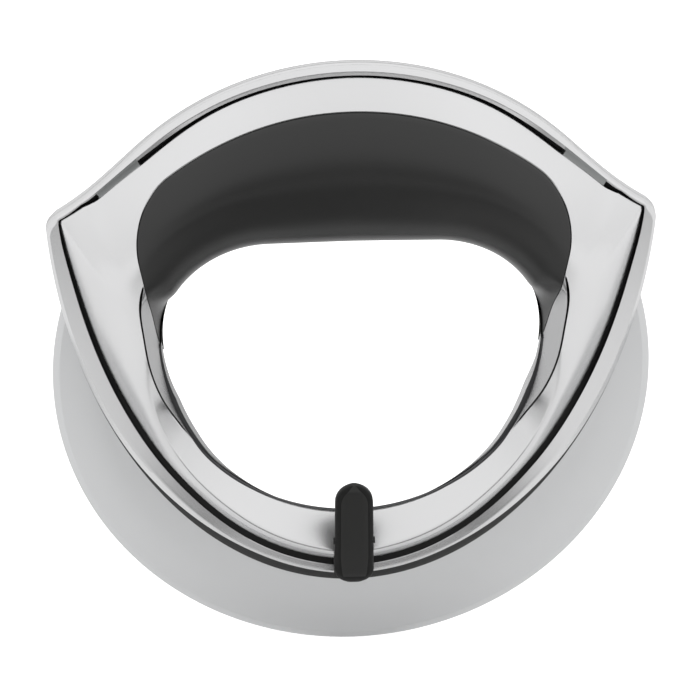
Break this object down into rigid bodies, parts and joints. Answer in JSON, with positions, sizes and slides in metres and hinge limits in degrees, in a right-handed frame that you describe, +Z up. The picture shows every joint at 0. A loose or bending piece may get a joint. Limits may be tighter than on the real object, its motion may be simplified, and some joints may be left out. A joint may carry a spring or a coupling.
{
  "type": "pizza cutter",
  "caption": "Pizza cutter whose wide ring blade turns inside a polished, horned hand ring with dark grip inlays and a small release lever at its foot.",
  "frame": {"origin": "the point where the blade's edge meets the board, straight below the blade's centre", "axes": "+Z up through the blade's centre to the grip, -Y to the front with the release lever, +X to the right"},
  "size_m": [0.1426, 0.03, 0.1481],
  "materials": {
    "polished_shell": "mirror-polished chrome",
    "blade_steel": "satin ground stainless steel",
    "grip_rubber": "matte soft-touch charcoal",
    "core_plastic": "moulded black plastic",
    "bearing_plastic": "smooth acetal",
    "pin_steel": "drawn steel",
    "lever_plastic": "fine-grained black plastic"
  },
  "bodies": {
    "handle": {"front_shell": "polished_shell", "rear_shell": "polished_shell", "front_core": "core_plastic", "rear_core": "core_plastic", "front_grip": "grip_rubber", "rear_grip": "grip_rubber", "front_bearing_ring": "bearing_plastic", "rear_bearing_ring": "bearing_plastic", "front_bearing_pegs": "pin_steel", "rear_bearing_pegs": "pin_steel", "locating_dowels": "pin_steel", "lever_saddle": "lever_plastic", "lever_keeper": "lever_plastic"},
    "blade": {"blade": "blade_steel"},
    "lever": {"release_lever": "lever_plastic", "lever_pin": "pin_steel"}
  },
  "joints": [
    {"name": "blade_spin", "type": "hinge", "parent": "handle", "child": "blade", "pos_m": [0, 0, 0.07], "axis": [0, 1, 0], "continuous": true},
    {"name": "lever_press", "type": "hinge", "parent": "handle", "child": "lever", "pos_m": [0, -0.0112, 0.0305], "axis": [-1, 0, 0], "range_deg": [0, 18], "stiffness_Nm_per_rad": 0.08}
  ]
}
